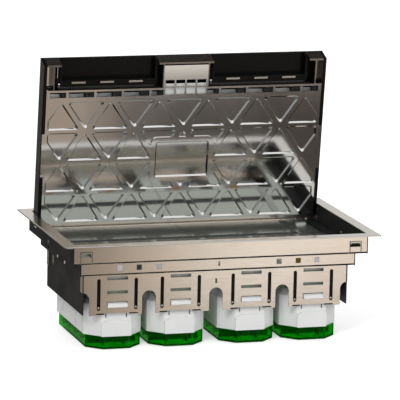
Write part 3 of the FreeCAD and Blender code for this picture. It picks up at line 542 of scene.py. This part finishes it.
    def card_colour(self, tree):
        """Colour of the card: a bright ramp across its upper part, a dark one across its lower part.

        Both ramps run from the middle of the box at 0 to ramp_end metres to the right at 1.
        The lower part goes nearly black towards its foot. Heights are in metres.
        """
        ramp_end = 0.6
        part_low, part_high = -0.21, -0.17
        black_height, full_height, nearly_black = -0.58, -0.44, 0.02
        place = add_node(tree, "ShaderNodeTexCoord")
        spot = add_node(tree, "ShaderNodeSeparateXYZ", {"Vector": place.outputs["Object"]}).outputs
        across = add_node(tree, "ShaderNodeMapRange", {
            "Value": spot["X"], "From Min": 0.0, "From Max": ramp_end})
        above = add_node(tree, "ShaderNodeValToRGB", {"Fac": across.outputs[0]})
        set_ramp(above, [(0.12, "#6f645a"), (0.30, "#cdbfae"), (0.46, "#fff8ef"), (0.64, "#fbf0e6"),
                         (0.9, "#ecdaca")])
        below = add_node(tree, "ShaderNodeValToRGB", {"Fac": across.outputs[0]})
        set_ramp(below, [(0.28, "#a89a8d"), (0.40, "#6c6660"), (0.52, "#575350"), (0.78, "#4b4642")])
        fade = add_node(tree, "ShaderNodeMapRange", {
            "Value": spot["Z"], "From Min": black_height, "From Max": full_height,
            "To Min": nearly_black, "To Max": 1.0})
        ground = add_node(tree, "ShaderNodeMix", {
            "Factor": 1.0, "A": below.outputs["Color"], "B": fade.outputs[0]},
            data_type="RGBA", blend_type="MULTIPLY")
        upper = add_node(tree, "ShaderNodeMapRange", {
            "Value": spot["Z"], "From Min": part_low, "From Max": part_high})
        whole = add_node(tree, "ShaderNodeMix", {
            "Factor": upper.outputs[0], "A": ground.outputs["Result"], "B": above.outputs["Color"]},
            data_type="RGBA")
        return whole.outputs["Result"]


class SOCKETBOX_OT_steelwork(bpy.types.Operator):
    """Finish the trim frame, the walls, the plates and the other sheet steel"""
    bl_idname = "socketbox.steelwork"
    bl_label = "Steelwork"

    def execute(self, context):
        colours = context.scene.socketbox_finishes

        # Ground and brushed along the box: soft, drawn-out reflections
        satin = rolled_steel("satin stainless steel, ground", tuple(colours.frame_colour), roughness=0.2,
                             grain_mm=0.6, stretch=(0.04, 1, 1), wave_mm=90)
        # Bright as it leaves the rolls: mirrors the room with a quick waver
        bright = rolled_steel("bright rolled steel", tuple(colours.wall_colour), roughness=0.16,
                              grain_mm=0.8, stretch=(0.05, 1, 1), wave_mm=45)
        # Polished before pressing: nearly a mirror
        polished = rolled_steel("polished stainless steel", tuple(colours.panel_colour), roughness=0.07,
                                grain_mm=0.8, stretch=(0.1, 1, 1), wave_mm=60)
        # Painted reflection: dark, matt and faintly pebbled. On the end walls this near-black stands in for
        # the dark surroundings that their bright steel reflects; the support bar and hinge brackets share it
        dark_matt = moulded_plastic("near-black matt, painted dark reflection", tuple(colours.end_wall_colour), roughness=0.45,
                               grain_mm=0.5, depth_mm=0.03, specular=0.15)
        # Plated zinc: pale and even, with blurred highlights
        zinc = rolled_steel("zinc-plated steel", linear("#d5d5d2"), roughness=0.22,
                            grain_mm=0.5, stretch=(1, 1, 1), wave_mm=20)
        dress(["trim_frame"], satin)
        dress(["front_wall", "rear_wall"], bright)

        # Polished and a little dulled by use: greyer than the panel that mirrors it
        plate = rolled_steel("polished plate steel", tuple(colours.plate_colour), roughness=0.12,
                             grain_mm=0.8, stretch=(0.1, 1, 1), wave_mm=60, metallic=0.8)
        # Painted shade: brushed and left satin, softer than the panel, and given a darker colour that dims
        # the bright reflection on the handle and end caps
        hood = rolled_steel("satin steel, darkened as painted shade", linear("#9a9692"), roughness=0.22,
                            grain_mm=0.8, stretch=(0.1, 1, 1), wave_mm=60)
        dress(["lid_panel"], polished)
        dress(["lid_handle", "lid_end_cap_left", "lid_end_cap_right"], hood)
        dress(["rear_plate_left", "rear_plate_right", "front_plate_left", "front_plate_right",
               "ribbed_strip"], plate)
        dress(["left_end_wall", "right_end_wall", "support_bar", "hinge_bracket_left",
               "hinge_bracket_right"], dark_matt)
        dress(["corner_clips", "rail_rivets", "plate_screws", "hinge_pins", "flap_pins", "flap_springs_left",
               "flap_springs_right"], zinc)
        return {"FINISHED"}


class SOCKETBOX_OT_mouldings(bpy.types.Operator):
    """Finish the lid's shell, the flaps, the rails and the outlet parts"""
    bl_idname = "socketbox.mouldings"
    bl_label = "Mouldings"

    def execute(self, context):
        colours = context.scene.socketbox_finishes

        # Moulded, glass-filled: deep black with a low, soft gloss
        black = moulded_plastic("black glass-filled nylon", tuple(colours.flap_colour), roughness=0.3,
                                grain_mm=0.4, depth_mm=0.01, specular=0.22)
        # Moulded in a smooth tool: clean white with a mild gloss
        white = moulded_plastic("white polycarbonate, moulded", tuple(colours.housing_colour), roughness=0.28,
                                grain_mm=0.3, depth_mm=0.01)
        # Moulded clear: strong green that the floor shows through
        green = tinted_polycarbonate("clear green polycarbonate", tuple(colours.cover_colour), clear=0.96)
        # Stamped from sheet: warm yellow metal, softly bright
        brass = rolled_steel("stamped brass", linear("#c9a24f"), roughness=0.25,
                             grain_mm=0.5, stretch=(1, 1, 1), wave_mm=20)
        dress(["lid_tray", "flap_carrier_left", "flap_carrier_right", "cable_flap_left", "cable_flap_right",
               "front_guide_rails", "rear_guide_rails"], black)
        for number in range(1, len(MODULES) + 1):
            dress(["outlet_housing_%d" % number, "outlet_%d" % number], white)
            dress(["wiring_cover_%d" % number], green)
            dress(["contacts_%d" % number], brass)
        return {"FINISHED"}


class SOCKETBOX_OT_vent_foam(bpy.types.Operator):
    """Put foam strips behind the lid's vent slots, at the right end of each slot, where their black is
    painted shade
    """
    bl_idname = "socketbox.vent_foam"
    bl_label = "Vent foam"

    def execute(self, context):
        thickness = context.scene.socketbox_details.foam_thickness / MM
        # Black sealing foam: a dull, pitted black in the right third of each slot, which is painted shade:
        # every block sits at its slot's right end, on both sides alike
        foam = open_cell_foam("black foam, painted slot shade", linear("#2a2a2a"))
        slot_edges = (21.2, 34.0, 60.7, 87.3, 114.2, 131.0)
        filled = 0.36
        near_edge, far_edge = 117.6, 124.4
        face = 10.6
        bm = bmesh.new()
        for side in (-1, 1):
            for near, far in zip(slot_edges, slot_edges[1:]):
                # Painted shade: the block takes the right end of its slot on both sides, not mirrored
                low, high = sorted((side * near, side * far))
                start = high - filled * (high - low)
                add_slab(bm, (start, near_edge, face - thickness), (high, far_edge, face), on_lid, ease=0.6)
        blocks = mesh_piece("vent_shade_foam", bm, foam, "lid")
        return {"FINISHED"}


class SOCKETBOX_OT_rivets_and_screws(bpy.types.Operator):
    """Make the domed rivets in the skirt's slots, the plates' screws and the lid's and end walls' screws"""
    bl_idname = "socketbox.rivets_and_screws"
    bl_label = "Rivets and screws"

    def execute(self, context):
        details = context.scene.socketbox_details
        zinc = bpy.data.materials["zinc-plated steel"]
        self.make_rail_rivets(zinc, details.rivet_head_radius / MM, details.rivet_head_height / MM)
        self.make_plate_screws(zinc)
        self.make_end_wall_rivets(zinc)
        self.make_panel_screws(zinc)
        return {"FINISHED"}

    def make_rail_rivets(self, zinc, radius, height):
        """Makes the rivets that hold the guide rails, with their heads inside the skirt's slots."""
        bm = bmesh.new()
        for x in MODULES:
            for offset in (-SLOT_OFFSET, SLOT_OFFSET):
                for side in (-1, 1):
                    seat = in_box(x + offset, side * (LOWER_HALF[1] - SHEET / 2), RIVET_DEPTH)
                    add_turned(bm, dome(radius, height, shank=1.8), seat, (0, side, 0))
        rivets = mesh_piece("rail_rivet_heads", bm, zinc, "box")
        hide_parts("rail_rivets")

    def make_plate_screws(self, zinc):
        """Makes the plates' screws: a shank, a head that widens upwards, and a round drive socket."""
        bm = bmesh.new()
        low, high = (Vector(corner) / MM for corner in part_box("plate_screws"))
        top = high.z - low.z
        shank, head, rim, socket, socket_end = 1.2, 1.9, 1.85, 0.9, 0.8
        profile = [(shank, 0), (head, top * 0.7), (rim, top), (socket, top), (socket_end, top * 0.4),
                   (0, top * 0.3)]
        for x in SCREW_X:
            for side_x in (-1, 1):
                for side_y in (-1, 1):
                    seat = Vector((side_x * x, side_y * SCREW_Y, low.z)) * MM
                    add_turned(bm, profile, seat, (0, 0, 1))
        screws = mesh_piece("plate_screw_heads", bm, zinc, "box")
        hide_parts("plate_screws")

    def make_end_wall_rivets(self, zinc):
        """Makes four rivets in each end wall's upper band: one outside, one inside, two on the bracket."""
        outside, inside = UPPER_HALF[0], UPPER_HALF[0] - SHEET
        bracket_thickness = 0.9
        bracket = inside - bracket_thickness
        outward, inward = 1, -1
        bm = bmesh.new()
        for side in (-1, 1):
            for face, y, depth, way, radius, height in (
                    (outside, 7.5, 14.8, outward, 1.7, 0.6),
                    (inside, -6.7, 14.0, inward, 1.3, 0.6),
                    (bracket, 64.2, 4.8, inward, 1.2, 0.5),
                    (bracket, 64.2, 12.7, inward, 1.2, 0.5)):
                add_turned(bm, dome(radius, height), in_box(side * face, y, depth), (side * way, 0, 0))
        mesh_piece("end_wall_rivets", bm, zinc, "box")

    def make_panel_screws(self, zinc):
        """Makes the two screws near the hinge that hold the lid's panel."""
        x, along, face = 100.4, 26.1, 12.0
        radius, height = 1.5, 0.8
        bm = bmesh.new()
        for side in (-1, 1):
            seat = on_lid(side * x, along, face)
            add_turned(bm, dome(radius, height), seat, LID_TURN @ Vector((0, 0, -1)))
        mesh_piece("lid_panel_screws", bm, zinc, "lid")


class SOCKETBOX_OT_corner_clips(bpy.types.Operator):
    """Make the spring clips behind the U windows, each with its bent lip"""
    bl_idname = "socketbox.corner_clips"
    bl_label = "Corner clips"

    def execute(self, context):
        zinc = bpy.data.materials["zinc-plated steel"]
        bm = bmesh.new()
        for side_x in (-1, 1):
            for side_y in (-1, 1):
                self.add_clip(bm, side_x, side_y)
        bmesh.ops.recalc_face_normals(bm, faces=bm.faces)
        clips = mesh_piece("corner_clip_springs", bm, zinc, "box")
        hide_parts("corner_clips")
        return {"FINISHED"}

    def add_clip(self, bm, side_x, side_y):
        """Adds a clip: a sheet with two arms and a tongue, a bent lip, and an ear at each end of the lip."""
        def place(x, y, depth):
            return in_box(side_x * (CLIP_X + x), side_y * (UPPER_HALF[1] + y), depth)

        half_clip, half_gap, half_lip, ear_width = 8.0, 5.2, 4.9, 0.9
        back, front = -1.8, -1.0
        top, gap_top, tongue_top, bottom = 4.6, 8.6, 12.6, 17.4
        for low, high in (
                ((-half_clip, back, top), (half_clip, front, gap_top)),
                ((-half_clip, back, gap_top), (-half_gap, front, bottom)),
                ((half_gap, back, gap_top), (half_clip, front, bottom)),
                ((-half_gap, back, tongue_top), (half_gap, front, bottom))):
            add_slab(bm, low, high, place, ease=0.1)

        # Outlines seen from the end of the clip, as (outwards from the wall's face, depth)
        lip = [(-1.8, 6.8), (-0.3, 6.8), (0.25, 7.1), (0.35, 8.5), (0.0, 8.8), (-0.3, 7.7), (-1.8, 7.6)]
        ear = [(-1.2, 8.4), (-0.1, 8.4), (-0.1, 9.6), (-1.2, 10.4)]
        width = place(half_lip, 0, 0) - place(-half_lip, 0, 0)
        add_plate(bm, [place(-half_lip, y, depth) for y, depth in lip], width, ease=0.12)
        for edge in (-1, 1):
            width = place(-edge * ear_width, 0, 0) - place(0, 0, 0)
            add_plate(bm, [place(edge * half_lip, y, depth) for y, depth in ear], width, ease=0.1)


class SOCKETBOX_OT_wiring_inserts(bpy.types.Operator):
    """Make the green trays round the outlets, whose pale colour is painted tinted shade, and the ribs inside
    the wiring covers
    """
    bl_idname = "socketbox.wiring_inserts"
    bl_label = "Wiring inserts"

    def execute(self, context):
        # Deep green, hardly clear: ribs that show dark through the covers
        deep = tinted_polycarbonate("deep green polycarbonate", linear("#0a5a12"), clear=0.3)
        # Painted shade: pale and milky, a faint green behind the skirt's windows that stands in for the shade
        # in the hollow there, tinted by light through the green covers
        tinted_shade = tinted_polycarbonate("pale green-grey, painted tinted shade", linear("#c3d1c4"), clear=0.2)
        for number, x in enumerate(MODULES, start=1):
            self.make_tray(number, x, tinted_shade)
            self.make_ribs(number, x, deep)
        return {"FINISHED"}

    def make_tray(self, number, x, tinted_shade):
        """Makes a tray round an outlet: a wall, and a skirt with an inner shelf at each side. Its pale green
        is painted tinted shade where there is a hollow.
        """
        half, wall, chamfer, inner_chamfer = 24.5, 1.2, 10.5, 10.0
        front, rear, top, bottom = -61.0, 58.7, 44.4, 51.6
        side_front, side_rear = -48.0, 46.0
        skirt_top, shelf_top, skirt_bottom = 51.8, 55.2, 56.1
        shelf_inner, shelf_outer = 20.9, 23.2
        outer = chamfered_plan(half, front, rear, chamfer)
        inner = chamfered_plan(half - wall, front + wall, rear - wall, inner_chamfer)
        bm = bmesh.new()
        add_ring(bm, x, outer, inner, top, bottom)
        for side in (-1, 1):
            add_slab(bm, (x + side * (half - wall), side_front, skirt_top),
                     (x + side * half, side_rear, skirt_bottom), in_box)
            add_slab(bm, (x + side * shelf_inner, side_front, shelf_top),
                     (x + side * shelf_outer, side_rear, skirt_bottom), in_box)
        tray = mesh_piece("tinted_shade_tray_%d" % number, bm, tinted_shade, "box")

    def make_ribs(self, number, x, deep):
        """Makes the ribs on the floor of a wiring cover: five across it and two along it."""
        half_length, half_thickness, across_top = 22.6, 0.6, 95.0
        along_inner, along_outer, along_top = 9.0, 10.2, 94.0
        along_front, along_rear = -55.0, 50.0
        bottom = 100.2
        bm = bmesh.new()
        for y in (-44.0, -22.0, 0.0, 22.0, 40.0):
            add_slab(bm, (x - half_length, y - half_thickness, across_top),
                     (x + half_length, y + half_thickness, bottom), in_box)
        for side in (-1, 1):
            add_slab(bm, (x + side * along_inner, along_front, along_top),
                     (x + side * along_outer, along_rear, bottom), in_box)
        ribs = mesh_piece("wiring_cover_ribs_%d" % number, bm, deep, "box")


class SOCKETBOX_OT_lid_trim(bpy.types.Operator):
    """Make the panel's side tabs, the corner plates and the liners behind the lid's grid and vents"""
    bl_idname = "socketbox.lid_trim"
    bl_label = "Lid trim"

    def execute(self, context):
        steel = bpy.data.materials["polished stainless steel"]
        white = bpy.data.materials["white polycarbonate, moulded"]

        # Corners of each sheet, as (across, along the lid, deep)
        side_tab = (133.0, 41.6, 12.0), (136.8, 83.6, 12.35)
        corner_plate = (134.4, 126.0, 2.2), (128.0, 149.0, 3.0)
        grid_liner = (-20.6, 117.0, 8.4), (20.6, 128.6, 9.2)
        vent_liner = (22.0, 111.5, 4.2), (130.6, 119.9, 4.9)
        bm = bmesh.new()
        for side in (-1, 1):
            for sheet in (side_tab, corner_plate):
                low, high = ((side * x, along, deep) for x, along, deep in sheet)
                add_slab(bm, low, high, on_lid, ease=0.12)
        tabs = mesh_piece("lid_panel_tabs", bm, steel, "lid")

        # Painted reflection: the white liner behind the grid stands in for the bright reflection seen in the
        # grid's cells
        bm = bmesh.new()
        add_slab(bm, *grid_liner, on_lid)
        liner = mesh_piece("painted_reflection_behind_grid", bm, white, "lid")

        bm = bmesh.new()
        for side in (-1, 1):
            low, high = ((side * x, along, deep) for x, along, deep in vent_liner)
            add_slab(bm, low, high, on_lid)
        strip = mesh_piece("vent_liner", bm, white, "lid")
        return {"FINISHED"}


class SOCKETBOX_OT_flap_aprons(bpy.types.Operator):
    """Make the black aprons below the shelves of the cable flaps"""
    bl_idname = "socketbox.flap_aprons"
    bl_label = "Flap aprons"

    def execute(self, context):
        black = bpy.data.materials["black glass-filled nylon"]
        inner, outer = 27.2, 120.2
        near, far = 127.4, 130.6
        top, bottom = 5.8, 6.8
        for name, side in (("left", -1), ("right", 1)):
            bm = bmesh.new()
            add_slab(bm, (side * inner, near, top), (side * outer, far, bottom), on_lid, ease=0.2)
            apron = mesh_piece("flap_apron_" + name, bm, black, name + "_flap")
        return {"FINISHED"}


class SOCKETBOX_OT_end_wall_details(bpy.types.Operator):
    """Make the bright tabs in the end walls and the returns of the long walls"""
    bl_idname = "socketbox.end_wall_details"
    bl_label = "End wall details"

    def execute(self, context):
        self.make_tabs()
        self.make_returns()
        return {"FINISHED"}

    def make_tabs(self):
        """Makes each end wall's bright tabs: two squares in the middle band, two strips above, one below."""
        # Painted reflection: pale grey, matt and even, standing in for the bright reflection of the zinc tabs
        painted_reflection_grey = moulded_plastic("pale matt grey, painted reflection on zinc", linear("#cfcfcc"), roughness=0.5,
                                grain_mm=0.4, depth_mm=0.01)
        half_width, half_height = 1.9, 1.4
        sunk = 0.1
        middle_proud, upper_proud, lower_proud = 0.25, 0.3, 0.15
        bm = bmesh.new()
        for side in (-1, 1):
            wall = MIDDLE_HALF[0]
            for y, depth in ((8.8, 28.9), (-17.2, 29.3)):
                add_slab(bm, (side * (wall + middle_proud), y - half_width, depth - half_height),
                         (side * (wall - sunk), y + half_width, depth + half_height), in_box)
            wall = UPPER_HALF[0]
            for front, rear, top, bottom in ((61.5, 66.5, 7.4, 9.4), (54.5, 60.5, 10.2, 11.6)):
                add_slab(bm, (side * (wall + upper_proud), front, top),
                         (side * (wall - sunk), rear, bottom), in_box)
            wall = LOWER_HALF[0]
            front, rear, top, bottom = 41.8, 43.0, 34.3, 43.0
            add_slab(bm, (side * (wall + lower_proud), front, top),
                     (side * (wall - sunk), rear, bottom), in_box, ease=0.05)
        tabs = mesh_piece("end_wall_tabs", bm, painted_reflection_grey, "box")

    def make_returns(self):
        """Makes the strips that the long walls turn round the corners of the end walls' lower band."""
        bright = bpy.data.materials["bright rolled steel"]
        inner_y, top, bottom = 58.2, 32.6, 48.4
        start, thickness = 0.1, 0.5
        bm = bmesh.new()
        for side_x in (-1, 1):
            for side_y in (-1, 1):
                x = side_x * (LOWER_HALF[0] + start)
                add_slab(bm, (x, side_y * inner_y, top),
                         (x + side_x * thickness, side_y * LOWER_HALF[1], bottom), in_box, ease=0.1)
        returns = mesh_piece("long_wall_returns", bm, bright, "box")


class SOCKETBOX_PT_panel(bpy.types.Panel):
    """Lists the colours, the sizes and the operators"""
    bl_label = "Floor socket box"
    bl_idname = "SOCKETBOX_PT_panel"
    bl_space_type = "VIEW_3D"
    bl_region_type = "UI"
    bl_category = "Socket Box"

    def draw(self, context):
        layout = self.layout
        for group in (context.scene.socketbox_finishes, context.scene.socketbox_details):
            for name in group.__annotations__:
                layout.prop(group, name)
        for operator in OPERATORS:
            layout.operator(operator.bl_idname)


OPERATORS = (
    SOCKETBOX_OT_stage,
    SOCKETBOX_OT_steelwork,
    SOCKETBOX_OT_mouldings,
    SOCKETBOX_OT_vent_foam,
    SOCKETBOX_OT_rivets_and_screws,
    SOCKETBOX_OT_corner_clips,
    SOCKETBOX_OT_wiring_inserts,
    SOCKETBOX_OT_lid_trim,
    SOCKETBOX_OT_flap_aprons,
    SOCKETBOX_OT_end_wall_details,
)
CLASSES = (SocketBoxFinishes, SocketBoxDetails) + OPERATORS + (SOCKETBOX_PT_panel,)


def register():
    """Registers the classes and hangs the two property groups on the scene."""
    for cls in CLASSES:
        bpy.utils.register_class(cls)
    bpy.types.Scene.socketbox_finishes = PointerProperty(type=SocketBoxFinishes)
    bpy.types.Scene.socketbox_details = PointerProperty(type=SocketBoxDetails)


def unregister():
    """Takes back what register did."""
    del bpy.types.Scene.socketbox_details
    del bpy.types.Scene.socketbox_finishes
    for cls in reversed(CLASSES):
        bpy.utils.unregister_class(cls)


def main():
    """Dresses the whole box."""
    register()
    bpy.ops.socketbox.stage()
    bpy.ops.socketbox.steelwork()
    bpy.ops.socketbox.mouldings()
    bpy.ops.socketbox.vent_foam()
    bpy.ops.socketbox.rivets_and_screws()
    bpy.ops.socketbox.corner_clips()
    bpy.ops.socketbox.wiring_inserts()
    bpy.ops.socketbox.lid_trim()
    bpy.ops.socketbox.flap_aprons()
    bpy.ops.socketbox.end_wall_details()


if __name__ == "__main__":
    main()
